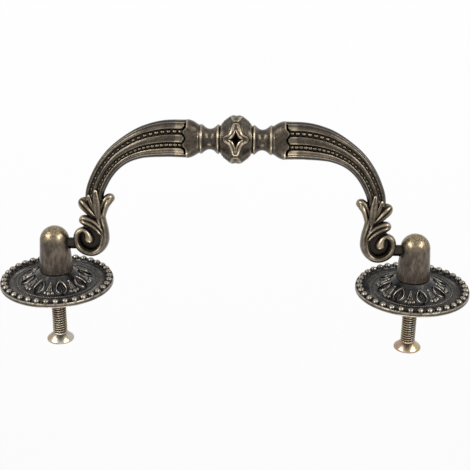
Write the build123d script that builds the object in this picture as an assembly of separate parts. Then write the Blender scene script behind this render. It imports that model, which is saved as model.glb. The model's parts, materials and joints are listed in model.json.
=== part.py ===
from build123d import *
from math import cos, radians, sin
import os

# Layout in mm: pieces are drawn with the mounting face on z = 0 and the posts along +Z
hole_spacing = 96.0
pin_height = 11.9
bail_lean = 18.0

# Fits, radial
pin_clearance = 0.06
thread_clearance = 0.03
screw_hole_clearance = 0.3

# Post
post_base_r = 4.5
post_top_r = 3.95
shoulder_rise = 0.7
dome_steps = 6
dome_flat_r = 0.6
post_sides = 36
pin_hole_depth = 3.0
tapped_depth = 5.6

# Screw, M4 x 25 countersunk
screw_r = 2.0
screw_length = 25.0
screw_stand_out = 17.3
head_r = 3.7
head_rim = 0.35

# Rosette
rosette_r = 15.25
rosette_edge = 1.2
rosette_height = 4.0
rosette_sides = 60
channel_r = 13.1
channel_height = 0.8
bead_ring_r = 14.2
bead_r = 0.92
bead_rise = 0.8
bead_count = 36
collar_margin = 0.25
leaf_tip_r = 10.0
leaf_count = 16
leaf_lip = 0.4
leaf_notch = 1.3

# Bail, measured from the pin axis in its own plane
grip_height = 28.4
grip_sides = 24
knob_r = 6.3
knob_half = 4.4
knob_flat = 1.3
motif_depth = 1.3
motif_half_length = 2.9
motif_half_height = 3.4
motif_lobe = 0.6
flange_r = 3.95
flange_width = 0.9
neck_r = 2.75
neck_x = 7.0
ring_r = 3.95
ring_x = 9.3
ring_width = 0.8
cuff_length = 3.9
cuff_proud = 0.4
arm_width = 10.0
arm_thickness = 7.0
foot_width = 4.8
foot_thickness = 4.4
arm_spans = 11
taper_delay = 0.6
foot_height = 12.7
foot_inset = 10.6
scroll_r = 4.75
scroll_rise = 1.3
scroll_gap = 1.0
scroll_half = 2.5
scroll_edge_half = 1.5
scroll_floor_half = 0.8
scroll_crest_r = 3.6
scroll_floor_r = 2.1
scroll_sides = 20
eye_r = 1.0
pin_r = 1.5
pin_end_gap = 0.4

# Worked out from the above
post_x = hole_spacing / 2
scroll_x = post_x - post_top_r - scroll_gap - scroll_r
foot_x = post_x - foot_inset
cuff_x = ring_x + ring_width
cuff_end_x = cuff_x + cuff_length
grip_along = Plane((0, 0, grip_height), x_dir=(0, 0, 1), z_dir=(1, 0, 0))
grip_front = Plane((0, 0, grip_height), x_dir=(1, 0, 0), z_dir=(0, -1, 0))


def skinned(loops):
    """Solid of flat triangles from loop to loop of points, closed by its first and last loop."""
    facets = [loops[0], loops[-1]]
    for low, high in zip(loops, loops[1:]):
        for i in range(len(low)):
            odd, even = (i - 1, i) if i % 2 == 0 else (i, i - 1)
            facets.append([low[odd], low[even], high[even]])
            facets.append([low[odd], high[even], high[odd]])
    return Solid(Shell([Face(Wire.make_polygon(facet)) for facet in facets]))


def faceted(rings, sides):
    """Solid of flat facets about Z; a ring is its radius at the ridges, at the hollows, and its height."""
    turns = [radians(360 * i / sides) for i in range(sides)]
    loops = []
    for ridge_r, hollow_r, z in rings:
        radii = [ridge_r, hollow_r] * (sides // 2)
        loops.append([Vector(r * cos(turn), r * sin(turn), z) for r, turn in zip(radii, turns)])
    return skinned(loops)


def turned(profile, sides):
    """Round solid about Z in narrow flats, from points of radius and height."""
    return faceted([(r, r, z) for r, z in profile], sides)


# Posts
def post():
    pin_z = pin_height - rosette_height
    shoulder = pin_z + shoulder_rise
    profile = [(post_base_r, 0)]
    for i in range(dome_steps):
        turn = radians(90 * i / dome_steps)
        profile.append((post_top_r * cos(turn), shoulder + post_top_r * sin(turn)))
    profile.append((dome_flat_r, shoulder + post_top_r))
    tapped = Cylinder(screw_r + thread_clearance, 2 * tapped_depth)
    pin_hole = Rot(Y=90) * Cylinder(pin_r + pin_clearance, 2 * pin_hole_depth)
    body = turned(profile, post_sides) - tapped - Pos(-post_top_r, 0, pin_z) * pin_hole
    return Pos(0, 0, rosette_height) * body


# Screws
def screw():
    head_height = head_r - screw_r + head_rim
    half = Polyline(
        (0, 0),
        (head_r, 0),
        (head_r, head_rim),
        (screw_r, head_height),
        (screw_r, screw_length),
        (0, screw_length),
        close=True,
    )
    return Pos(0, 0, -screw_stand_out) * revolve(Plane.XZ * make_face(half), Axis.Z)


# Rosettes
def leafed_centre():
    """Raised centre: a ring of leaves that climb to the post, with blunt notched tips."""
    collar_r = post_base_r + collar_margin
    middle_r = (leaf_tip_r + collar_r) / 2
    tip_height = channel_height + leaf_lip
    middle_height = (tip_height + rosette_height) / 2
    rings = [
        (leaf_tip_r, leaf_tip_r - leaf_notch, channel_height / 2),
        (leaf_tip_r, leaf_tip_r - leaf_notch, tip_height),
        (middle_r + leaf_lip, middle_r - leaf_lip, middle_height),
        (collar_r, collar_r, rosette_height),
    ]
    return faceted(rings, 2 * leaf_count)


def beads():
    """Ring of four-sided studs with blunt tops along the rim."""
    profile = [
        (bead_r, rosette_edge / 2),
        (bead_r, rosette_edge),
        (bead_r / 2, rosette_edge + bead_rise),
    ]
    bead = Pos(bead_ring_r, 0, 0) * turned(profile, 4)
    return [Rot(Z=360 / bead_count * i) * bead for i in range(bead_count)]


def rosette():
    profile = [
        (rosette_r, 0),
        (rosette_r, rosette_edge),
        (channel_r, rosette_edge),
        (channel_r - (rosette_edge - channel_height), channel_height),
    ]
    plate = turned(profile, rosette_sides) + [leafed_centre(), *beads()]
    return plate - Cylinder(screw_r + screw_hole_clearance, 3 * rosette_height)


# Bail
def knob_body(r, end_r):
    """Body of the knob between its flanges, with bevelled sides."""
    half = [(r, knob_flat), (end_r, knob_half)]
    profile = [(r, -x) for r, x in reversed(half)] + half
    return grip_along * turned(profile, grip_sides)


def star(half_height):
    """Four-lobed star with hollow sides, the outline of one of the knob's sunk motifs."""
    hollow_x = motif_lobe + 0.2 * (motif_half_length - motif_lobe)
    hollow_y = motif_lobe + 0.2 * (half_height - motif_lobe)
    corner = [(motif_half_length, motif_lobe), (hollow_x, hollow_y), (motif_lobe, half_height)]
    right = [(x, -y) for x, y in reversed(corner)] + corner
    return make_face(Polyline(right + [(-x, -y) for x, y in right], close=True))


def knob():
    body = knob_body(knob_r, flange_r - flange_width / 2)
    for turn in range(4):
        half_height = motif_half_height if turn % 2 == 0 else motif_half_height / 2
        well = extrude(star(half_height), motif_depth + 1)
        body -= grip_front * Rot(X=90 * turn) * Pos(0, 0, knob_r - motif_depth) * well
    return body


def neck():
    """Flange, neck and ring on one side of the knob."""
    flange_x = knob_half + flange_width
    waist = (ring_x - ring_width - flange_x) / 5
    profile = [
        (flange_r - flange_width, knob_half - flange_width),
        (flange_r, knob_half),
        (flange_r - flange_width / 4, flange_x),
        (neck_r, neck_x - waist),
        (neck_r, neck_x + waist),
        (ring_r, ring_x - ring_width / 2),
        (ring_r, cuff_x),
    ]
    return grip_along * turned(profile, grip_sides)


def arm_path():
    """Middle line of an arm, from inside the cuff to the leaves; fractions of its span and its drop."""
    fractions = [(0, 1), (0.24, 0.993), (0.53, 0.89), (0.78, 0.65), (0.94, 0.3), (1, 0)]
    drop = grip_height - foot_height
    start_x = cuff_end_x - cuff_length / 4
    span = foot_x - start_x
    points = [(start_x + span * a, 0, foot_height + drop * b) for a, b in fractions]
    return Spline(points, tangents=[(1, 0, 0), (0.08, 0, -1)])


def across(path, s):
    """Plane square to a path: local x in the bail's plane, local y through its thickness."""
    return Plane(path @ s, x_dir=(path % s).cross(Vector(0, 1, 0)), z_dir=path % s)


def fluted(half_width, half_thickness):
    """Arm section: three ridges and two flutes on the front and on the back."""
    front = [(1.0, 0.4), (0.84, 0.82), (0.54, 0.95), (0.36, 0.68), (0.16, 1.0)]
    front += [(-a, b) for a, b in reversed(front)]
    ring = front + [(a, -b) for a, b in reversed(front)]
    return [(a * half_width, b * half_thickness) for a, b in ring]


def arm():
    """Fluted arm along its middle line, its taper gathered before the middle of the bend."""
    path = arm_path()
    loops = []
    for i in range(arm_spans + 1):
        s = i / arm_spans
        taper = s**2 / (s**2 + taper_delay * (1 - s) ** 2)
        half_width = (arm_width + (foot_width - arm_width) * taper) / 2
        half_thickness = (arm_thickness + (foot_thickness - arm_thickness) * taper) / 2
        plane = across(path, s)
        loops.append([plane.from_local_coords(Vector(a, b)) for a, b in fluted(half_width, half_thickness)])
    return skinned(loops)


def oval(half_height, half_thickness, power):
    """Twelve-sided outline between an ellipse (power 2) and a rounded block (higher powers)."""
    points = []
    for i in range(12):
        turn = radians(30 * i + 15)
        a = abs(cos(turn)) ** (2 / power) * (1 if cos(turn) > 0 else -1)
        b = abs(sin(turn)) ** (2 / power) * (1 if sin(turn) > 0 else -1)
        points.append((half_height * a, half_thickness * b))
    return points


def cuff():
    """Smooth cup that opens from the round ring to the arm, with a scalloped end."""
    end_height = arm_width / 2 + cuff_proud / 2
    end_thickness = arm_thickness / 2 + cuff_proud
    stations = [
        (cuff_x, ring_r, ring_r, 2),
        (cuff_x + 0.45 * cuff_length, 0.96 * end_height, end_thickness, 2.6),
        (cuff_end_x, end_height, end_thickness, 3),
    ]
    loops = []
    for x, half_height, half_thickness, power in stations:
        outline = oval(half_height, half_thickness, power)
        loops.append([Vector(x, t, grip_height + h) for h, t in outline])
    body = skinned(loops)
    pitch = arm_width / 3
    corner = [(-pitch / 3, pitch / 6), (0, pitch / 2)]
    notch = make_face(Polyline(corner + [(x, -y) for x, y in reversed(corner)], close=True))
    for i in (-1, 0, 1):
        place = Plane((cuff_end_x, 0, grip_height + i * pitch), x_dir=(1, 0, 0), z_dir=(0, -1, 0))
        body -= extrude(place * notch, arm_width, both=True)
    return body


def ribbed(half_width, half_thickness):
    """Leaf section: two ribs with a hollow between them, front and back."""
    ring = [(1, 0), (0.55, 1), (0, 0.55), (-0.55, 1), (-1, 0), (-0.55, -1), (0, -0.55), (0.55, -1)]
    return [(a * half_width, b * half_thickness) for a, b in ring]


def blade(stations):
    """Leaf or stem, straight from station to station of x, height, width and thickness."""
    path = Spline([(x, 0, h) for x, h, width, thickness in stations])
    loops = []
    for x, h, width, thickness in stations:
        plane = across(path, path.param_at_point(Vector(x, 0, h)))
        loops.append([plane.from_local_coords(Vector(a, b)) for a, b in ribbed(width / 2, thickness / 2)])
    return skinned(loops)


def leaves():
    """Stem and three leaves of an arm, their stations set from the scroll's centre and the arm's foot."""
    x, h = scroll_x, scroll_rise
    thick = 2 * scroll_half
    stem = [
        (foot_x, foot_height + 0.6, foot_width, foot_thickness),
        (foot_x - 0.3, foot_height - 2.6, 3.4, 0.8 * thick),
        (foot_x - 1.2, foot_height - 5.6, 2.8, 0.8 * thick),
        (x - 3.5, h + 3.0, 2.6, 0.8 * thick),
        (x - 3.7, h + 0.2, 1.8, 0.6 * thick),
    ]
    outer = [
        (foot_x - 1.3, foot_height - 6.0, 1.5, 0.6 * thick),
        (foot_x + 0.8, foot_height - 3.9, 3.0, 0.9 * thick),
        (foot_x + 2.6, foot_height - 2.0, 3.4, 0.8 * thick),
        (foot_x + 4.2, foot_height - 0.8, 1.8, 0.5 * thick),
    ]
    inner = [
        (foot_x - 1.4, foot_height - 6.0, 1.6, 0.6 * thick),
        (foot_x - 2.0, foot_height - 3.8, 2.2, 0.85 * thick),
        (foot_x - 2.9, foot_height - 1.7, 2.7, 0.8 * thick),
        (foot_x - 4.2, foot_height - 0.5, 2.6, 0.7 * thick),
        (foot_x - 5.3, foot_height - 0.35, 1.6, 0.5 * thick),
    ]
    lower = [
        (x - 3.6, h + 1.6, 1.2, 0.7 * thick),
        (x - 1.9, h + 3.8, 2.8, 0.9 * thick),
        (x + 0.4, h + 4.8, 3.0, 0.84 * thick),
        (x + 2.2, h + 4.75, 2.4, 0.65 * thick),
        (x + 3.1, h + 4.6, 1.5, 0.45 * thick),
    ]
    return [blade(stations) for stations in (stem, outer, inner, lower)]


def scroll():
    """Volute with a raised eye in a sunk ring, and the pin that turns in the post."""
    front = [
        (eye_r, scroll_half),
        (scroll_floor_r, scroll_floor_half),
        (scroll_crest_r, scroll_half),
        (scroll_r, scroll_edge_half),
    ]
    body = Rot(X=90) * turned(front + [(r, -t) for r, t in reversed(front)], scroll_sides)
    pin_start_x = scroll_x + scroll_crest_r
    pin_end_x = post_x - post_top_r + pin_hole_depth - pin_end_gap
    pin = Pos((pin_start_x + pin_end_x) / 2, 0, 0) * Rot(Y=90) * Cylinder(pin_r, pin_end_x - pin_start_x)
    return [Pos(scroll_x, 0, scroll_rise) * body, pin]


def bail():
    side = neck() + [cuff(), arm(), *leaves(), *scroll()]
    whole = knob() + side + mirror(side, Plane.YZ)
    return Pos(0, 0, pin_height) * Rot(X=bail_lean) * whole


# Export, with the mounting face turned upright: posts point to the front, -Y
def stand_up(piece):
    return Rot(X=90) * piece


os.makedirs("parts", exist_ok=True)
export_step(stand_up(bail()), "parts/bail.step")
for side, sign in (("left", -1), ("right", 1)):
    for name, piece in (("post", post()), ("rosette", rosette()), ("screw", screw())):
        turn = Rot(Z=0 if sign > 0 else 180)
        export_step(stand_up(Pos(sign * post_x, 0, 0) * turn * piece), f"parts/{side}_{name}.step")
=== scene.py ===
import json
import math

import bmesh
import bpy
import numpy as np
from mathutils import Matrix, Vector

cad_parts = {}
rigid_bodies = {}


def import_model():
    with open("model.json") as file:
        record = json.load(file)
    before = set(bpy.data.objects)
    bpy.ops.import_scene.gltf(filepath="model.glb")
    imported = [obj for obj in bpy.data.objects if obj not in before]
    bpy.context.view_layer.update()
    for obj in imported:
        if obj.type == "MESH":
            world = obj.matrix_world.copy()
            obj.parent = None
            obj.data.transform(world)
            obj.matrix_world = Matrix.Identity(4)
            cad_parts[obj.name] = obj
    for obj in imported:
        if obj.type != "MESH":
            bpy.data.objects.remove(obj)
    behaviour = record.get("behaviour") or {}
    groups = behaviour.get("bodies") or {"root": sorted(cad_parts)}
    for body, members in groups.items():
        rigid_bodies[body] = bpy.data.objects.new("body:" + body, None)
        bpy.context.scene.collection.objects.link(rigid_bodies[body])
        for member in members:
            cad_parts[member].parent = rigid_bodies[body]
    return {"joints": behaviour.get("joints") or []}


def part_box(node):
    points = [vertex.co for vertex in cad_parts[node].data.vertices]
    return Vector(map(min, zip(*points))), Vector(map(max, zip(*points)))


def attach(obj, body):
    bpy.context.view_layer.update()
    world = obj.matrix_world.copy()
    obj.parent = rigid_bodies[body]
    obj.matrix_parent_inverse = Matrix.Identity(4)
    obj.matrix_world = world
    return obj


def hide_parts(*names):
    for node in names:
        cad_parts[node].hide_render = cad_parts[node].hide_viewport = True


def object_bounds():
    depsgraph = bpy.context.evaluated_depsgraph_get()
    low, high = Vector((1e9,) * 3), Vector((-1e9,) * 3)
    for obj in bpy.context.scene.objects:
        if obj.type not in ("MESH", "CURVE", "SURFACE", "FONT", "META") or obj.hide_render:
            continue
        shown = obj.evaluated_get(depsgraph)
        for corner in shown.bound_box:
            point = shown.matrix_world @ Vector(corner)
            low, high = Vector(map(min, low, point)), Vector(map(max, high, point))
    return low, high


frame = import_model()
cad_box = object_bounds()
MM = 0.001


# Sizes in mm, read from the frame
def span(node):
    low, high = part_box(node)
    return np.array(low) / MM, np.array(high) / MM


post_low, post_high = span("right_post")
rosette_low, rosette_high = span("right_rosette")
screw_low, screw_high = span("right_screw")
post_x = (post_low[0] + post_high[0]) / 2
post_r = (post_high[0] - post_low[0]) / 2
post_top = -post_low[1]
rosette_r = (rosette_high[0] - rosette_low[0]) / 2
rosette_height = -rosette_low[1]
screw_tip = -screw_low[1]
screw_end = -screw_high[1]
head_r = (screw_high[0] - screw_low[0]) / 2
pin_height = -frame["joints"][0]["pos_m"][1] / MM

# Sizes in mm, an angle and a count that the frame doesn't name
bail_lean = math.radians(18)
grip_height = 28.4
knob_r = 6.28
arm_start_x = 13.0
arm_width = 10.0
arm_thickness = 7.0
foot_x = 37.4
foot_height = 12.7
foot_width = 4.8
foot_thickness = 4.4
scroll_x = 38.3
scroll_rise = 1.3
scroll_thickness = 5.0
cuff_x = 9.95
cuff_end_x = 13.0
cuff_r = 3.8
cuff_flare = 1.3
cuff_point = 0.9
cuff_point_pitch = 3.3
rail_start_round = 0.5
rail_start_length = 0.8
groove_bead_pitch = 1.4
groove_bead_spread = 0.12
groove_bead_start = 1.55
groove_bead_end = 0.8
least_groove_bead_r = 0.33
pin_r = 1.5
pin_end_x = 46.65
pin_hole_r = 1.56
pin_hole_depth = 3.0
dome_r = 3.95
screw_r = 2.0
thread_pitch = 0.7
thread_depth = 0.4
screw_hole_r = 2.3
bead_count = 36
bead_ring_r = 14.15
bead_r = 0.95
carving_r = 10.1
boss_r = 4.6

# Sizes of an arm's face as shares of its half width, or of its half thickness where they are depths
groove_at = 0.355
groove_half = 0.165
groove_growth = 0.05
groove_depth = 0.3
groove_wall = 0.04
groove_bead_r = 0.138
rail_end = 0.84
rail_crown = 0.06
shoulder_depth = 0.3
face_end = 0.985
edge_half = 0.12


# Shared shapes
def ease(x):
    """Smooth step from 0 to 1."""
    x = np.clip(x, 0, 1)
    return x * x * (3 - 2 * x)


def smooth_path(points, at):
    """Curve through points, read at shares of its length; columns after the second are carried along."""
    points = np.array(points, float)
    steps = np.linalg.norm(np.diff(points[:, :2], axis=0), axis=1)
    knots = np.concatenate([[0], np.cumsum(steps)])
    slopes = np.gradient(points, knots, axis=0)
    place = np.asarray(at) * knots[-1]
    i = np.clip(np.searchsorted(knots, place, side="right") - 1, 0, len(steps) - 1)
    gap = steps[i][:, None]
    f = (place - knots[i])[:, None] / gap
    start = (1 + 2 * f) * (1 - f) ** 2 * points[i] + f * (1 - f) ** 2 * gap * slopes[i]
    end = f**2 * (3 - 2 * f) * points[i + 1] + f**2 * (f - 1) * gap * slopes[i + 1]
    return start + end


def skin(rows, closed=False, start_cap=True, end_cap=True):
    """Points and faces of a tube of rings, capped at its ends unless the last ring meets the first."""
    rows = np.asarray(rows, float)
    index = np.arange(rows.shape[0] * rows.shape[1]).reshape(rows.shape[:2])
    low = index if closed else index[:-1]
    high = np.roll(index, -1, axis=0) if closed else index[1:]
    quads = np.stack([low, np.roll(low, -1, axis=1), np.roll(high, -1, axis=1), high], axis=-1)
    faces = quads.reshape(-1, 4).tolist()
    if not closed:
        faces += [index[0, ::-1].tolist()] * start_cap + [index[-1].tolist()] * end_cap
    return rows.reshape(-1, 3), faces


def join_rings(fine, coarse):
    """Faces between a ring and a coarser one whose points stand at every so many of its own."""
    step = len(fine) // len(coarse)
    faces = []
    for i in range(len(coarse)):
        edge = [fine[(step * i + j) % len(fine)] for j in range(step + 1)]
        faces.append(edge + [coarse[(i + 1) % len(coarse)], coarse[i]])
    return faces


def mirrored(solid):
    """The same solid on the other side of the middle plane."""
    points, faces = solid
    return points * (-1, 1, 1), [face[::-1] for face in faces]


def stand_out(points, x):
    """Row-frame places of points drawn about a post's axis, with z out from the drawer front."""
    points = np.asarray(points)
    return np.stack([points[:, 0] + x, -points[:, 2], points[:, 1]], axis=1)


def lean_out(points):
    """Row-frame places of points drawn in the bail's plane: x, thickness and height from the pin."""
    x, t, h = np.asarray(points).T
    y = -(pin_height + t * math.sin(bail_lean) + h * math.cos(bail_lean))
    return np.stack([x, y, t * math.cos(bail_lean) - h * math.sin(bail_lean)], axis=1)


def make(name, solid):
    """Object from points in mm in the row frame, with its faces turned outwards."""
    points, faces = solid
    mesh = bpy.data.meshes.new(name)
    mesh.from_pydata((np.asarray(points) * MM).tolist(), [], faces)
    shape = bmesh.new()
    shape.from_mesh(mesh)
    bmesh.ops.recalc_face_normals(shape, faces=shape.faces)
    shape.to_mesh(mesh)
    shape.free()
    piece = bpy.data.objects.new(name, mesh)
    bpy.context.collection.objects.link(piece)
    return piece


def combine(piece, solids, operation):
    """Adds solids to a piece or cuts them from it, leaving one closed mesh."""
    group = bpy.data.collections.new("operands")
    bpy.context.scene.collection.children.link(group)
    for solid in solids:
        operand = make("operand", solid)
        bpy.context.collection.objects.unlink(operand)
        group.objects.link(operand)
    step = piece.modifiers.new("combine", "BOOLEAN")
    step.operation = operation
    step.solver = "MANIFOLD"
    step.operand_type = "COLLECTION"
    step.collection = group
    whole = bpy.data.meshes.new_from_object(piece.evaluated_get(bpy.context.evaluated_depsgraph_get()))
    piece.modifiers.clear()
    piece.data = whole
    for operand in list(group.objects):
        bpy.data.objects.remove(operand)
    bpy.data.collections.remove(group)


def mark_wear_and_painted_light(piece, spread=4):
    """Stores how sharply the surface bends out at each point, in 1/mm, for edges bright from wear and painted
    highlight and for hollows dark with patina and painted shade.
    """
    mesh = piece.data
    places = np.empty(3 * len(mesh.vertices))
    mesh.vertices.foreach_get("co", places)
    places = places.reshape(-1, 3) / MM
    normals = np.empty(3 * len(mesh.vertices))
    mesh.vertex_normals.foreach_get("vector", normals)
    normals = normals.reshape(-1, 3)
    edges = np.empty(2 * len(mesh.edges), int)
    mesh.edges.foreach_get("vertices", edges)
    one, other = edges.reshape(-1, 2).T
    count = len(places)
    gap = places[one] - places[other]
    square = (gap**2).sum(axis=1)
    rise = np.bincount(one, (gap * normals[one]).sum(axis=1), count)
    rise -= np.bincount(other, (gap * normals[other]).sum(axis=1), count)
    reach = np.bincount(one, square, count) + np.bincount(other, square, count)
    sharpest = 6
    bend = np.clip(2 * rise / np.maximum(reach, 1e-6), -sharpest, sharpest)
    near = np.maximum(np.bincount(one, minlength=count) + np.bincount(other, minlength=count), 1)
    for _ in range(spread):
        around = np.bincount(one, bend[other], count) + np.bincount(other, bend[one], count)
        bend = (bend + around / near) / 2
    mesh.attributes.new("bend", "FLOAT", "POINT").data.foreach_set("value", bend)


def dress(piece, body, node, material, crease=35):
    """Puts a finished piece on its body in place of its solid."""
    mark_wear_and_painted_light(piece)
    piece.data.name = piece.name
    piece.data.materials.clear()
    piece.data.materials.append(material)
    piece.data.shade_smooth()
    piece.data.set_sharp_from_angle(angle=math.radians(crease))
    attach(piece, body)
    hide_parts(node)


def turned(profile, sides):
    """Rings of a turned shape from points of radius and height."""
    turn = np.linspace(0, 2 * np.pi, sides, endpoint=False)
    return [np.stack([r * np.cos(turn), r * np.sin(turn), np.full(sides, z)], axis=1) for r, z in profile]


def rod(r, start, end, sides):
    """Round rod along x, drawn about the pin's axis."""
    turn = np.linspace(0, 2 * np.pi, sides, endpoint=False)
    ring = np.stack([np.zeros(sides), r * np.cos(turn), r * np.sin(turn)], axis=1)
    return skin([ring + (x, 0, 0) for x in (start, end)])


# Bail: knob, necks and cuffs
def inside_by(x, y, corners):
    """Distance of points from a closed outline, above 0 inside it."""
    away = np.full(np.broadcast(x, y).shape, np.inf)
    inside = np.zeros(away.shape, bool)
    for (ax, ay), (bx, by) in zip(corners, corners[1:] + corners[:1]):
        along = (x - ax) * (bx - ax) + (y - ay) * (by - ay)
        share = np.clip(along / ((bx - ax) ** 2 + (by - ay) ** 2), 0, 1)
        away = np.minimum(away, np.hypot(x - ax - share * (bx - ax), y - ay - share * (by - ay)))
        crosses = (ay > y) != (by > y)
        inside ^= crosses & (x < ax + (y - ay) * (bx - ax) / (by - ay if by != ay else 1))
    return np.where(inside, away, -away)


def motif_rise(x, turn):
    """Relief of the four lobed motifs round the knob, by place along it and angle round it."""
    motif_r, motif_turn, star_length, star_height = 6.2, np.pi / 2, 1.95, 2.75
    across = motif_r * ((turn + motif_turn / 2) % motif_turn - motif_turn / 2)
    quarter = [(3.45, 0.5), (3.1, 1.1), (2.2, 1.45), (1.75, 1.8), (1.45, 2.5), (0.95, 4.3), (0.5, 4.75)]
    upper = quarter + [(-a, b) for a, b in reversed(quarter)]
    inside = inside_by(np.full(turn.shape, x), across, upper + [(-a, -b) for a, b in upper])
    star = np.abs(x / star_length) ** 0.75 + np.abs(across / star_height) ** 0.75
    front = np.sin(turn) ** 2
    raised = (0.4 + 0.25 * front) * ease((inside + 0.12) / 0.3)
    dished = 0.16 * ease((inside - 0.45) / 0.5)
    swollen = 0.42 * ease((0.22 - front) / 0.2) * ease((4.1 - x) / 1.3)
    hollow = (0.2 + 2.0 * front) * ease((1.05 - star) / 0.95)
    return np.maximum(raised - dished, swollen) + 0.3 * (1 - front) - hollow


def grip():
    """Knob, necks and cuffs in the middle of the bail, with finer rings on the knob than beside it."""
    knob_sides, neck_sides, knob_rows, neck_rows = 288, 96, 58, 44
    turn = np.linspace(0, 2 * np.pi, knob_sides, endpoint=False)
    knob = [(0, 5.72), (0.9, 5.68), (1.5, 5.48), (2.4, 4.85)]
    knob += [(3.3, 4.2), (3.9, 3.86), (4.18, 3.72), (4.32, 3.56)]
    flange = [(4.46, 3.76), (4.62, 3.92), (4.82, 3.92), (5.05, 3.76), (5.35, 3.47)]
    neck = [(5.8, 3.1), (6.3, 2.84), (6.9, 2.74), (7.5, 2.84), (8.05, 3.12), (8.55, 3.5)]
    ring = [(8.92, 3.8), (9.18, 3.93), (9.4, 3.92), (9.54, 3.76), (9.64, 3.68), (9.76, 3.78), (cuff_x, 3.88)]
    at = np.concatenate([np.linspace(0, 0.44, knob_rows), np.linspace(0.45, 1, neck_rows)])
    places = smooth_path(knob + flange + neck + ring, at)
    box_limit = knob_r / np.maximum(np.cos(turn - bail_lean), 0.966)
    rows = []
    for x, r in places[:knob_rows]:
        radius = np.minimum(r + motif_rise(x, turn) * ease((4.1 - x) / 0.3), box_limit)
        rows.append(np.stack([np.full(turn.shape, x), radius * np.sin(turn), radius * np.cos(turn)], axis=1))
    middle = np.array(rows)
    middle = np.concatenate([middle[:0:-1] * (-1, 1, 1), middle])
    points, faces = skin(middle, start_cap=False, end_cap=False)
    end = neck_and_cuff(places[knob_rows:], turn[::knob_sides // neck_sides])
    for side, row in ((-1, 0), (1, len(middle) - 1)):
        more, more_faces = skin(end * (side, 1, 1), start_cap=False)
        first = len(points)
        faces += [[first + i for i in face] for face in more_faces]
        knob_end = range(row * knob_sides, (row + 1) * knob_sides)
        faces += join_rings(knob_end, range(first, first + neck_sides))
        points = np.concatenate([points, more])
    return points + (0, 0, grip_height), faces


def neck_and_cuff(places, turn):
    """Rings of a turned neck and of the scalloped cuff that the arm grows from."""
    up, out = np.cos(turn), np.sin(turn)
    rows = [np.stack([np.full(turn.shape, x), r * out, r * up], axis=1) for x, r in places]
    for share in np.linspace(0, 1, 20)[1:]:
        power = 2 / (2 + 1.4 * share)
        half_height = cuff_r + cuff_flare * (1 - (1 - share) ** 1.9)
        half_thickness = cuff_r + 0.1 * share
        h = half_height * np.sign(up) * np.abs(up) ** power
        t = half_thickness * np.sign(out) * np.abs(out) ** power
        point = 0.5 - 0.5 * np.cos(2 * np.pi * h / cuff_point_pitch)
        point = np.where(np.abs(h) < cuff_point_pitch, point, 0)
        end = cuff_end_x + cuff_point * point**1.4
        rows.append(np.stack([cuff_x + share * (end - cuff_x), t, h], axis=1))
    rim = rows[-1]
    for share, back in ((0.96, -0.06), (0.8, 0.0), (0.6, 0.1)):
        rows.append(rim * (1, share, share) - (back, 0, 0))
    return np.array(rows)


# Bail: arms
def arm_line(at):
    """Middle of an arm at shares of its length: x, height, half width, half thickness and direction."""
    span_x = foot_x - arm_start_x
    drop = grip_height - foot_height
    bends = [(0, 1), (0.24, 0.993), (0.53, 0.89), (0.78, 0.65), (0.94, 0.3), (1, 0), (1, -0.07)]
    places = [(arm_start_x + span_x * a, foot_height + drop * b) for a, b in bends]
    line = smooth_path(places, at)
    fine = np.linspace(0, 1, 400)
    slope = np.gradient(smooth_path(places, fine), axis=0)
    run = np.stack([np.interp(at, fine, slope[:, i]) for i in (0, 1)], axis=1)
    run /= np.linalg.norm(run, axis=1)[:, None]
    fit = smooth_path([(0, 0), (0.18, 0.06), (0.3, 0.22), (0.42, 0.47), (0.56, 0.72), (0.76, 0.9), (1, 1)],
                      np.linspace(0, 1, 100))
    taper = np.interp(at, fit[:, 0], fit[:, 1])
    half_width = (arm_width + (foot_width - arm_width) * taper) / 2
    half_thickness = (arm_thickness + (foot_thickness - arm_thickness) * taper) / 2
    return line, half_width, half_thickness, run


def arm_section(share):
    """Half of an arm's face from its middle out: places from 0 to 1, how sunk they are, rails' crowns."""
    half = groove_half + groove_growth * share
    inner, outer, wall = groove_at - half, groove_at + half, groove_wall
    parts = [
        (0, inner, 6), (inner, inner + wall, 3), (inner + wall, outer - wall, 3), (outer - wall, outer, 3),
        (outer, rail_end, 8), (rail_end, rail_end + wall, 3), (rail_end + wall, face_end, 4),
    ]
    runs = [np.linspace(low, high, count, endpoint=False) for low, high, count in parts]
    a = np.concatenate(runs + [[face_end]])
    sunk = ease((a - inner) / wall) * ease((outer - a) / wall)
    middle, reach = (outer + rail_end) / 2, (rail_end - outer) / 2
    crown = np.where(a < groove_at, a / inner, (middle - a) / reach)
    return a, sunk, np.clip(crown, -1, 1)


def arm():
    """Right arm with its rails and grooves, with closer rows where the rails start."""
    start, start_rows, rest_rows = 0.09, 26, 88
    at = np.concatenate([np.linspace(0, start, start_rows, endpoint=False), np.linspace(start, 1, rest_rows)])
    line, half_width, half_thickness, run = arm_line(at)
    rows = []
    for share, (x, h), w, thick, (dx, dh) in zip(at, line, half_width, half_thickness, run):
        half, sunk, crown = arm_section(share)
        rail_start_x = cuff_end_x - 0.05 + rail_start_round * np.maximum(crown, 0) ** 2
        started = ease((x - rail_start_x) / rail_start_length)
        sunk = np.where(half < rail_end, np.maximum(sunk, 1 - started), 0)
        shoulder = shoulder_depth * ease((half - rail_end) / groove_wall)
        depth = groove_depth * sunk + shoulder + rail_crown * crown**2 * (half < rail_end)
        face = (1 - half**4) ** 0.425 * (1 - depth)
        face = np.concatenate([face[:0:-1], face])
        across = np.concatenate([-half[:0:-1], half])
        a = np.concatenate([across[::-1], [-1, -1], across, [1, 1]]) * w
        t = np.concatenate([face, [edge_half, -edge_half], -face, [-edge_half, edge_half]]) * thick
        rows.append(np.stack([x + dh * a, t, h - dx * a], axis=1))
    return skin(rows)


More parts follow.
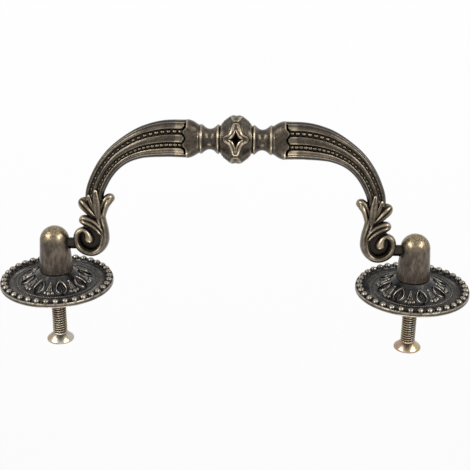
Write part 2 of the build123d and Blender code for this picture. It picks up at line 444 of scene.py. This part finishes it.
def bead(centre, r, run, face):
    """Low oval bead on an arm's face, drawn out along it."""
    lift = np.linspace(-0.1, 0.5 * np.pi - 0.25, 5)
    rings = np.array(turned([(r * math.cos(x), r * math.sin(x)) for x in lift], 10))
    along, across = 1.2 * rings[..., 0], rings[..., 1]
    (x, t, h), (dx, dh) = centre, run
    places = [x + dx * along + dh * across, t + face * rings[..., 2], h + dh * along - dx * across]
    return skin(np.stack(places, axis=-1))


def arm_beads():
    """Rows of beads in the grooves of an arm, on both faces, growing smaller towards the leaves."""
    beads = []
    line, half_width, half_thickness, run = arm_line(np.linspace(0, 1, 600))
    length = np.concatenate([[0], np.cumsum(np.linalg.norm(np.diff(line, axis=0), axis=1))])
    for side in (-1, 1):
        pitch = groove_bead_pitch - side * groove_bead_spread
        along = groove_bead_start
        while along < length[-1] - groove_bead_end:
            i = np.searchsorted(length, along)
            r = max(groove_bead_r * half_width[i], least_groove_bead_r)
            a = side * groove_at
            x = line[i, 0] + run[i, 1] * a * half_width[i]
            h = line[i, 1] - run[i, 0] * a * half_width[i]
            floor = half_thickness[i] * (1 - a**4) ** 0.5 * (1 - groove_depth)
            for face in (-1, 1):
                beads.append(bead((x, face * (floor - 0.35 * r), h), r, run[i], face))
            along += pitch
    return beads


# Bail: leaves and scrolls
def sweep(stations, rows=40, lift=0.0, grooves=1, sides=32):
    """Solid with round ends and 1 or 2 grooves, by stations of x, height, width, thickness, groove depth."""
    at = 0.5 - 0.5 * np.cos(np.linspace(0, np.pi, rows))
    line = smooth_path(stations, at)
    run = np.gradient(line[:, :2], axis=0)
    run /= np.linalg.norm(run, axis=1)[:, None]
    length = np.concatenate([[0], np.cumsum(np.linalg.norm(np.diff(line[:, :2], axis=0), axis=1))])
    half = line[:, 2] / 2
    end = np.minimum(length, length[-1] - length)
    fade = np.sqrt(np.clip(1 - (1 - np.clip(end / half, 0.004, 1)) ** 2, 0, 1))
    turn = np.linspace(0, 2 * np.pi, sides, endpoint=False)
    a = np.cos(turn)
    b = np.sign(np.sin(turn)) * np.abs(np.sin(turn)) ** 0.8
    from_groove = a / 0.2 if grooves == 1 else (np.abs(a) - 0.36) / 0.13
    cut = np.exp(-(from_groove**2))
    rings = []
    for (x, h, width, thickness, depth), (dx, dh), f in zip(line, run, fade):
        w = a * f * width / 2
        t = b * (1 - depth * cut) * f**0.7 * thickness / 2 + lift
        rings.append(np.stack([x + dh * w, t, h - dx * w], axis=1))
    return skin(rings)


def foliage():
    """Stem, scroll and leaves at the right end of the bail."""
    x, h, thick = scroll_x, scroll_rise, scroll_thickness
    band = [
        (foot_x, foot_height + 1.4, 4.2, 0.8 * thick, 0),
        (foot_x - 0.3, foot_height - 1.0, 3.6, 0.84 * thick, 0.1),
        (foot_x - 1.0, foot_height - 3.6, 3.1, 0.88 * thick, 0.24),
        (x - 2.75, h + 4.6, 2.8, 0.92 * thick, 0.24),
        (x - 3.5, h + 1.9, 2.6, 0.96 * thick, 0.2),
        (x - 3.6, h - 0.6, 2.5, thick, 0.1),
        (x - 2.6, h - 2.65, 2.1, thick, 0),
        (x - 0.8, h - 3.75, 1.8, thick, 0),
        (x + 1.3, h - 3.5, 1.8, thick, 0),
        (x + 3.0, h - 2.15, 1.9, thick, 0),
        (x + 3.65, h - 0.2, 1.95, thick, 0),
        (x + 3.1, h + 1.75, 1.9, thick, 0),
        (x + 1.85, h + 2.35, 1.7, thick, 0),
        (x + 0.95, h + 1.75, 2.0, thick, 0),
        (x + 0.5, h + 0.8, 2.6, thick, 0),
        (x + 0.3, h - 0.1, 3.0, thick, 0),
        (x + 0.2, h - 0.8, 3.0, thick, 0),
        (x + 0.15, h - 1.5, 2.9, thick, 0),
    ]
    outer = [
        (foot_x - 1.5, foot_height - 6.4, 1.6, 0.7 * thick, 0.2),
        (foot_x + 0.5, foot_height - 4.3, 2.9, 0.96 * thick, 0.2),
        (foot_x + 2.3, foot_height - 2.3, 3.6, 0.94 * thick, 0.22),
        (foot_x + 4.0, foot_height - 0.9, 3.0, 0.7 * thick, 0.2),
    ]
    inner = [
        (foot_x - 2.0, foot_height - 6.6, 1.6, 0.7 * thick, 0.2),
        (foot_x - 2.2, foot_height - 4.2, 2.2, 0.92 * thick, 0.24),
        (foot_x - 2.8, foot_height - 2.1, 2.7, 0.94 * thick, 0.24),
        (foot_x - 4.1, foot_height - 0.55, 2.8, 0.76 * thick, 0.1),
        (foot_x - 5.4, foot_height - 0.35, 2.3, 0.55 * thick, 0),
    ]
    lower = [
        (x - 3.9, h - 0.2, 1.4, 0.8 * thick, 0.1),
        (x - 3.0, h + 1.8, 2.3, 1.02 * thick, 0.24),
        (x - 1.5, h + 3.4, 3.0, 1.04 * thick, 0.26),
        (x + 0.3, h + 4.5, 3.2, thick, 0.26),
        (x + 1.9, h + 4.9, 2.9, 0.84 * thick, 0.2),
        (x + 3.2, h + 4.8, 2.4, 0.62 * thick, 0.05),
    ]
    floor = [(x - 3.6, h + 0.6, 7.2, 1.5, 0), (x + 3.3, h + 0.6, 7.2, 1.5, 0)]
    calyx = [
        (foot_x - 1.35, foot_height - 6.4, 0.9, 0.4, 0.1),
        (foot_x - 1.0, foot_height - 3.2, 2.3, 2.2, 0.22),
        (foot_x - 0.7, foot_height - 0.8, 2.1, 2.1, 0.22),
        (foot_x - 0.5, foot_height + 1.9, 0.9, 1.4, 0.1),
    ]
    rib = [
        (foot_x - 1.0, foot_height - 5.0, 0.8, 0.4, 0.1),
        (foot_x + 0.4, foot_height - 2.4, 1.3, 2.0, 0.1),
        (foot_x + 1.4, foot_height + 0.5, 0.8, 1.3, 0.1),
    ]
    solids = [sweep(band, 110), sweep(outer, grooves=2), sweep(inner), sweep(lower), sweep(floor)]
    for lift in (-1.75, 1.75):
        solids += [sweep(calyx, 30, lift), sweep(rib, 22, lift)]
    return solids + [rod(pin_r, x + 3.4, pin_end_x, 40)]


def build_bail(material):
    half = [arm()] + arm_beads() + foliage()
    solids = half + [mirrored(solid) for solid in half]
    points, faces = grip()
    piece = make("bail_casting", (lean_out(points), faces))
    combine(piece, [(lean_out(points), faces) for points, faces in solids], "UNION")
    dress(piece, "bail", "bail", material, 40)


# Posts
def build_post(side, material):
    base = rosette_height
    shoulder = post_top - dome_r
    profile = [(0.5 * post_r, base), (post_r - 0.2, base), (post_r - 0.05, base + 0.06)]
    profile += [(post_r, base + 0.22)]
    for share in np.linspace(0.05, 0.97, 12):
        profile.append((post_r + (dome_r - post_r) * share, base + (shoulder - base) * share))
    for lift in np.linspace(0, 0.5 * np.pi, 28)[:-1]:
        profile.append((dome_r * math.cos(lift), shoulder + dome_r * math.sin(lift)))
    points, faces = skin(turned(profile, 96))
    name = "right_post" if side > 0 else "left_post"
    piece = make(name + "_casting", (stand_out(points, side * post_x), faces))
    points, faces = rod(pin_hole_r, side * (pin_hole_depth - dome_r), -side * (dome_r + 2), 48)
    combine(piece, [(stand_out(points + (0, 0, pin_height), side * post_x), faces)], "DIFFERENCE")
    dress(piece, "fixed", name, material)


# Rosettes
def rosette_rise(r, turn):
    """Height of the rosette's face above the drawer front, by radius and angle."""
    rim, channel = 1.1, 0.72
    rim_r, tick_r, pearl_ring_r, slope_r, top_r, carving_start_r = 13.0, 11.3, 10.65, 10.0, 4.5, 5.4
    pitch = 2 * np.pi / bead_count
    from_bead = (turn + pitch / 2) % pitch - pitch / 2
    away = np.hypot(r - bead_ring_r, bead_ring_r * from_bead)
    z = channel + (rim - channel) * ease((r - rim_r) / 0.25)
    z = z + np.sqrt(np.clip(bead_r**2 - away**2, 0, None))
    ticks = 0.5 + 0.5 * np.cos(5 * bead_count * turn)
    z = z + 0.14 * ticks * ease((r - tick_r) / 0.3) * ease((rim_r + 0.1 - r) / 0.3)
    pearls = 0.75 + 0.25 * np.cos(4 * bead_count * turn)
    z = z + 0.3 * pearls * np.clip(1 - ((r - pearl_ring_r) / 0.3) ** 2, 0, None)
    climb = np.clip((slope_r - r) / (slope_r - top_r), 0, 1)
    z = z + (rosette_height - channel) * climb**1.35
    return z + leaf_rise(r, turn) * ease((carving_r - r) / 0.2) * ease((r - carving_start_r) / 0.4)


def leaf_rise(r, turn):
    """Carved leaves of the raised centre: eight open loops with a three-lobed bud between each two."""
    sector = np.pi / 4
    loop_start, loop_length, loop_half = 5.9, 3.7, 1.5
    from_loop = (turn + sector / 2) % sector - sector / 2
    side = np.abs(r * from_loop)
    along = np.clip((r - loop_start) / loop_length, 0, 1)
    inside = loop_half * np.sin(np.pi * along**1.25) ** 0.5 - side
    wall = np.exp(-(((inside - 0.18) / 0.25) ** 2)) * (along > 0) * (along < 1)
    well = ease((inside - 0.3) / 0.25)
    vein = np.exp(-((side / 0.17) ** 2)) * ease((along - 0.1) / 0.1) * ease((0.75 - along) / 0.1)
    between = r * sector / 2 - side
    stem = np.exp(-((between / 0.24) ** 2)) * ease((r - 5.8) / 0.4) * ease((8.7 - r) / 0.3)
    blades = np.exp(-(((between - 0.28 * (r - 6.2)) / 0.22) ** 2))
    blades = blades * ease((r - 6.4) / 0.4) * ease((8.6 - r) / 0.3)
    lobes = sum(np.sqrt(np.clip(1 - ((r - at) ** 2 + (between - off) ** 2) / size**2, 0, None)) * size
                for at, off, size in ((9.15, 0.0, 0.6), (8.95, 1.0, 0.5)))
    return 0.5 * wall - 0.42 * well + 0.4 * vein * well + 0.4 * np.maximum(stem, blades) + 0.75 * lobes


def build_rosette(side, material):
    sides = 900
    turn = np.linspace(0, 2 * np.pi, sides, endpoint=False)
    leaf_turn = math.radians(12 if side < 0 else 19)
    back = [(r, 0) for r in (screw_hole_r, screw_hole_r + 0.3, 8, rosette_r - 0.6, rosette_r - 0.2)]
    edge = [(rosette_r, z) for z in (0.2, 0.3, 0.5, 0.7, 0.82)]
    rows = turned(back + [(rosette_r - 0.05, 0.06)] + edge + [(rosette_r - 0.04, 0.98)], sides)
    zones = [(rosette_r - 0.12, 13.0, 19), (12.9, 10.2, 18), (carving_r, 5.4, 53), (5.2, boss_r, 4)]
    for r in np.concatenate([np.linspace(*zone) for zone in zones]):
        rows.append(np.stack([r * np.cos(turn), r * np.sin(turn), rosette_rise(r, turn - leaf_turn)], axis=1))
    rows += turned([(boss_r - 0.2, rosette_height), (screw_hole_r, rosette_height)], sides)
    points, faces = skin(rows, closed=True)
    name = "right_rosette" if side > 0 else "left_rosette"
    piece = make(name + "_casting", (stand_out(points, side * post_x), faces))
    dress(piece, "fixed", name, material)


# Screws
def build_screw(side, material):
    sides = 40
    turn = np.linspace(0, 2 * np.pi, sides, endpoint=False)
    neck = screw_end + head_r - screw_r + 0.35
    head = [(1.2, 0.02), (head_r - 0.5, 0), (head_r - 0.12, 0.03)]
    head += [(head_r, 0.14), (head_r, 0.42), (head_r - 0.12, 0.6)]
    rows = turned([(r, screw_end + z) for r, z in head], sides)
    rows += turned([(screw_r + 0.25, neck - 0.25), (screw_r - 0.1, neck)], sides)
    for z in np.arange(neck + 0.1, screw_tip - 0.3, thread_pitch / 10):
        wave = np.abs(((z / thread_pitch - turn / (2 * np.pi)) % 1) * 2 - 1)
        starts = ease((z - neck - 0.1) / 0.6)
        r = screw_r - 0.02 - thread_depth * starts * ease((wave - 0.1) / 0.8)
        rows.append(np.stack([r * np.cos(turn), r * np.sin(turn), np.full(sides, z)], axis=1))
    rows += turned([(screw_r - 0.5, screw_tip)], sides)
    points, faces = skin(rows)
    name = "right_screw" if side > 0 else "left_screw"
    piece = make(name + "_threaded", (stand_out(points, side * post_x), faces))
    reach, half_width = 2.0, 0.42
    corner = [(reach, -half_width), (reach, half_width), (half_width, half_width)]
    quarters = [(1, 0), (0, 1), (-1, 0), (0, -1)]
    cross = np.array([(x * c - y * s, x * s + y * c) for c, s in quarters for x, y in corner])
    ends = [(1.1, screw_end - 0.5), (0.45, screw_end + 1.5)]
    points, faces = skin([np.column_stack([cross * size, np.full(len(cross), z)]) for size, z in ends])
    combine(piece, [(stand_out(points, side * post_x), faces)], "DIFFERENCE")
    dress(piece, "fixed", name, material)


# Materials
def put(tree, socket, value):
    """Links a socket to another, or sets it to a plain value."""
    if isinstance(value, bpy.types.NodeSocket):
        tree.links.new(value, socket)
    else:
        socket.default_value = value


def add(tree, kind, **values):
    """New node with sockets set or linked, by name or, as i0, i1 and so on, by number."""
    node = tree.nodes.new(kind)
    for key, value in values.items():
        socket = node.inputs[int(key[1:])] if key[0] == "i" and key[1:].isdigit() else node.inputs[key]
        put(tree, socket, value)
    return node


def remap(tree, value, low, high, to_low=0.0, to_high=1.0):
    """Value stretched from one range to another and held at its ends."""
    ends = {"From Min": low, "From Max": high, "To Min": to_low, "To Max": to_high}
    return add(tree, "ShaderNodeMapRange", Value=value, **ends).outputs[0]


def compute(tree, operation, **values):
    node = add(tree, "ShaderNodeMath", **values)
    node.operation = operation
    return node.outputs[0]


def times(tree, one, other):
    return compute(tree, "MULTIPLY", i0=one, i1=other)


def larger(tree, one, other):
    return compute(tree, "MAXIMUM", i0=one, i1=other)


def distance_along(tree, vector, axis):
    """How far a vector reaches along an axis, either way."""
    node = add(tree, "ShaderNodeVectorMath", i0=vector, i1=axis)
    node.operation = "DOT_PRODUCT"
    return compute(tree, "ABSOLUTE", i0=node.outputs["Value"])


def blend(tree, share, low, high):
    """Colour between two others."""
    node = tree.nodes.new("ShaderNodeMix")
    node.data_type = "RGBA"
    for i, value in ((0, share), (6, low), (7, high)):
        put(tree, node.inputs[i], value)
    return node.outputs[2]


def noise(tree, scale, detail, grain=(1, 1, 1)):
    """Noise over the piece, drawn out along an axis where grain is below 1."""
    place = tree.nodes.new("ShaderNodeTexCoord").outputs["Object"]
    stretch = add(tree, "ShaderNodeMapping", Vector=place, Scale=grain)
    node = add(tree, "ShaderNodeTexNoise", Vector=stretch.outputs[0], Scale=scale, Detail=detail)
    return node.outputs[0]


def new_material(name):
    material = bpy.data.materials.new(name)
    material.use_nodes = True
    return material, material.node_tree, material.node_tree.nodes["Principled BSDF"]


def bail_painted_shade(tree):
    """Painted shade on the bail: lightest on its leaves, darkest on its pins, arms' sides and scrolls'
    floors, where shade falls.
    """
    square = (0, -math.sin(bail_lean), math.cos(bail_lean))
    place = tree.nodes.new("ShaderNodeTexCoord")
    facing = distance_along(tree, place.outputs["Normal"], square)
    from_middle = distance_along(tree, place.outputs["Object"], (1, 0, 0))
    from_pin = add(tree, "ShaderNodeVectorMath", i0=place.outputs["Object"], i1=(0, pin_height * MM, 0))
    from_plane = distance_along(tree, from_pin.outputs[0], square)
    height = add(tree, "ShaderNodeSeparateXYZ", Vector=place.outputs["Object"]).outputs[1]
    level = pin_height + foot_height
    # Arms' sides, turned away from the bail's faces, come out darker: painted shade.
    arms = remap(tree, facing, 0.5, 0.93, 0.08, 0.84)
    middle = remap(tree, from_middle, cuff_x * MM, arm_start_x * MM, 0.94, 0)
    leaves = remap(tree, height, -(level + 2) * MM, -(level - 0.5) * MM, 0, 1.4)
    # Pins between the scrolls and the posts come out darker: painted shade.
    pins = remap(tree, from_middle, (scroll_x + 3.2) * MM, (scroll_x + 3.9) * MM, 1, 0.2)
    # Scrolls' floors near the bail's middle plane come out darker: painted shade.
    floors = remap(tree, from_plane, 0.85 * MM, 1.2 * MM, 0.1, 1)
    walls = remap(tree, facing, 0.6, 0.85, 1, 0)
    painted_shade = times(tree, larger(tree, larger(tree, arms, middle), leaves), pins)
    return times(tree, painted_shade, larger(tree, floors, walls))


def antique(name, dark, body, bright, reach, grain=(1, 1, 1), painted_shade=None, lighter_from=None):
    """Cast metal, dark with patina and painted shade in hollows up to reach mm wide, bright at its edges from
    wear and painted highlight, and lighter in streaks above a height in mm.
    """
    material, tree, shader = new_material(name)
    bend = tree.nodes.new("ShaderNodeAttribute")
    bend.attribute_name = "bend"
    edge = remap(tree, bend.outputs["Fac"], 0.2, 1.0)
    # Concave creases come out darker: patina with painted shade.
    crease = remap(tree, bend.outputs["Fac"], -1.0, -0.1, 0.45, 1.0)
    hollow = add(tree, "ShaderNodeAmbientOcclusion", Distance=reach * MM)
    hollow.samples = 12
    mottle = noise(tree, 420, 5, grain)
    fleck = noise(tree, 1500, 3, grain)
    # Hidden hollows come out darker: patina with painted shade.
    free_of_patina_and_shade = remap(tree, hollow.outputs["AO"], 0.3, 0.88)
    proud = remap(tree, hollow.outputs["AO"], 0.89, 0.99, 0.1, 1.0)
    mottle_and_painted_shade = times(tree, remap(tree, mottle, 0.35, 0.65, 0.5, 1.0), remap(tree, fleck, 0.38, 0.62, 0.45, 1.0))
    # Where a piece has a painted shade mask, it darkens the body colour.
    if painted_shade:
        mottle_and_painted_shade = times(tree, mottle_and_painted_shade, painted_shade(tree))
    colour = blend(tree, times(tree, times(tree, free_of_patina_and_shade, crease), mottle_and_painted_shade), dark, body)
    # Edges that bend out sharply turn bright: wear with painted highlight.
    worn_and_painted_highlight = times(tree, edge, remap(tree, mottle, 0.3, 0.6, 0.45, 1.0))
    colour = blend(tree, times(tree, worn_and_painted_highlight, proud), colour, bright)
    if lighter_from:
        place = tree.nodes.new("ShaderNodeTexCoord").outputs["Object"]
        height = add(tree, "ShaderNodeSeparateXYZ", Vector=place).outputs[1]
        # The post's dome is lighter, in scratchy streaks, above this height.
        top = remap(tree, height, -lighter_from * MM, -(lighter_from + 2.5) * MM)
        scratch = remap(tree, noise(tree, 3400, 4, (1, 1, 0.5)), 0.4, 0.66, 0.0, 0.8)
        colour = blend(tree, times(tree, top, scratch), colour, bright)
    tree.links.new(colour, shader.inputs["Base Color"])
    shader.inputs["Metallic"].default_value = 0.9
    tree.links.new(remap(tree, noise(tree, 1400, 4), 0.3, 0.7, 0.2, 0.38), shader.inputs["Roughness"])
    bump = add(tree, "ShaderNodeBump", Height=noise(tree, 2600, 3), Strength=0.12, Distance=0.0002)
    tree.links.new(bump.outputs[0], shader.inputs["Normal"])
    return material


def plated(name, dark, pale, warm, rosy):
    """Yellow zinc plating with a faint change of tint, and painted shade darkening its hollows."""
    material, tree, shader = new_material(name)
    tint = remap(tree, noise(tree, 350, 3), 0.38, 0.62)
    blush = remap(tree, noise(tree, 230, 2), 0.46, 0.6)
    hollow = add(tree, "ShaderNodeAmbientOcclusion", Distance=0.6 * MM)
    hollow.samples = 8
    colour = blend(tree, blush, blend(tree, tint, pale, warm), rosy)
    # Hollows of the thread and the slots come out darker: painted shade.
    colour = blend(tree, remap(tree, hollow.outputs["AO"], 0.45, 0.95), dark, colour)
    tree.links.new(colour, shader.inputs["Base Color"])
    shader.inputs["Metallic"].default_value = 1.0
    shader.inputs["Roughness"].default_value = 0.28
    return material


brass = antique(
    "antique_brass", dark=(0.02, 0.017, 0.0145, 1), body=(0.115, 0.0925, 0.068, 1),
    bright=(0.5, 0.41, 0.28, 1), reach=1.4, painted_shade=bail_painted_shade,
)
post_brass = antique(
    "antique_brass_post", dark=(0.02, 0.017, 0.015, 1), body=(0.165, 0.132, 0.102, 1),
    bright=(0.45, 0.35, 0.19, 1), reach=1.3, grain=(1, 0.35, 1), lighter_from=post_top - dome_r + 0.6,
)
plate_brass = antique(
    "antique_brass_rosette", dark=(0.005, 0.005, 0.006, 1), body=(0.06, 0.058, 0.057, 1),
    bright=(0.36, 0.31, 0.24, 1), reach=1.3,
)
zinc = plated(
    "yellow_zinc", dark=(0.05, 0.04, 0.025, 1), pale=(0.46, 0.43, 0.39, 1), warm=(0.44, 0.36, 0.17, 1),
    rosy=(0.38, 0.27, 0.2, 1),
)

build_bail(brass)
for side in (-1, 1):
    build_post(side, post_brass)
    build_rosette(side, plate_brass)
    build_screw(side, zinc)


# Floor, light and camera
def sees_white(tree):
    """1 for the rays that meet the background as plain white: seen directly, mirrored or passed through."""
    path = tree.nodes.new("ShaderNodeLightPath")
    share = path.outputs["Is Camera Ray"]
    for kind in ("Is Glossy Ray", "Is Transmission Ray"):
        share = larger(tree, share, path.outputs[kind])
    return share


def build_floor():
    """Pale floor well below the part, which keeps its shadow but looks white."""
    half, below, glow_share = 3.0, 0.25, 0.85
    level = cad_box[0].z - below
    corners = [(-half, -half, level), (half, -half, level), (half, half, level), (-half, half, level)]
    mesh = bpy.data.meshes.new("floor")
    mesh.from_pydata(corners, [], [(0, 1, 2, 3)])
    floor = bpy.data.objects.new("floor", mesh)
    bpy.context.collection.objects.link(floor)
    material, tree, shader = new_material("floor_white")
    shader.inputs["Base Color"].default_value = (0.9, 0.9, 0.9, 1)
    shader.inputs["Roughness"].default_value = 0.9
    glow = add(tree, "ShaderNodeEmission", Color=(1, 1, 1, 1), Strength=1.0)
    share = times(tree, sees_white(tree), glow_share)
    mix = add(tree, "ShaderNodeMixShader", i0=share, i1=shader.outputs[0], i2=glow.outputs[0])
    tree.links.new(mix.outputs[0], tree.nodes["Material Output"].inputs["Surface"])
    mesh.materials.append(material)


def build_lamp(name, place, aim, size, power):
    light = bpy.data.lights.new(name, "AREA")
    light.shape = "RECTANGLE"
    light.size, light.size_y = size
    light.energy = power
    lamp = bpy.data.objects.new(name, light)
    lamp.location = place
    lamp.rotation_euler = (Vector(aim) - Vector(place)).to_track_quat("-Z", "Y").to_euler()
    bpy.context.collection.objects.link(lamp)


def build_world():
    world = bpy.data.worlds.new("studio")
    world.use_nodes = True
    tree = world.node_tree
    colour = blend(tree, sees_white(tree), (0.3, 0.3, 0.31, 1), (1, 1, 1, 1))
    tree.links.new(colour, tree.nodes["Background"].inputs["Color"])
    bpy.context.scene.world = world


def build_camera():
    """Camera fitted to the photograph, worked out with x right, y away and z along the posts."""
    elevation, yaw, roll = math.radians(23.55), math.radians(1.775), math.radians(0.601)
    target, distance, focal_px, image_px = Vector((0.213, 0, 15.275)), 282.77, 1067.1, 470
    turn = Matrix.Rotation(yaw, 3, "Z")
    right = turn @ Vector((1, 0, 0))
    ahead = turn @ Vector((0, math.cos(elevation), -math.sin(elevation)))
    up = turn @ Vector((0, math.sin(elevation), math.cos(elevation)))
    right, up = right * math.cos(roll) + up * math.sin(roll), up * math.cos(roll) - right * math.sin(roll)
    to_row = Matrix(((-1, 0, 0), (0, 0, -1), (0, -1, 0)))
    axes = Matrix([to_row @ right, to_row @ up, to_row @ -ahead]).transposed()
    data = bpy.data.cameras.new("camera")
    data.sensor_width = 36
    data.lens = data.sensor_width * focal_px / image_px
    data.clip_start, data.clip_end = 0.01, 20
    camera = bpy.data.objects.new("camera", data)
    place = to_row @ (target - ahead * distance) * MM
    camera.matrix_world = Matrix.Translation(place) @ axes.to_4x4()
    bpy.context.collection.objects.link(camera)
    bpy.context.scene.camera = camera


build_floor()
build_world()
build_camera()
lamp_aim = (0, -0.02, 0)
build_lamp("key", (0.46, -0.46, 0.27), lamp_aim, (0.25, 0.5), 3.6)
build_lamp("fill", (-0.46, -0.46, 0.27), lamp_aim, (0.25, 0.5), 3.4)
build_lamp("back", (0.0, 0.5, 0.5), lamp_aim, (0.6, 0.25), 2.0)

bpy.context.scene.view_settings.view_transform = "Standard"
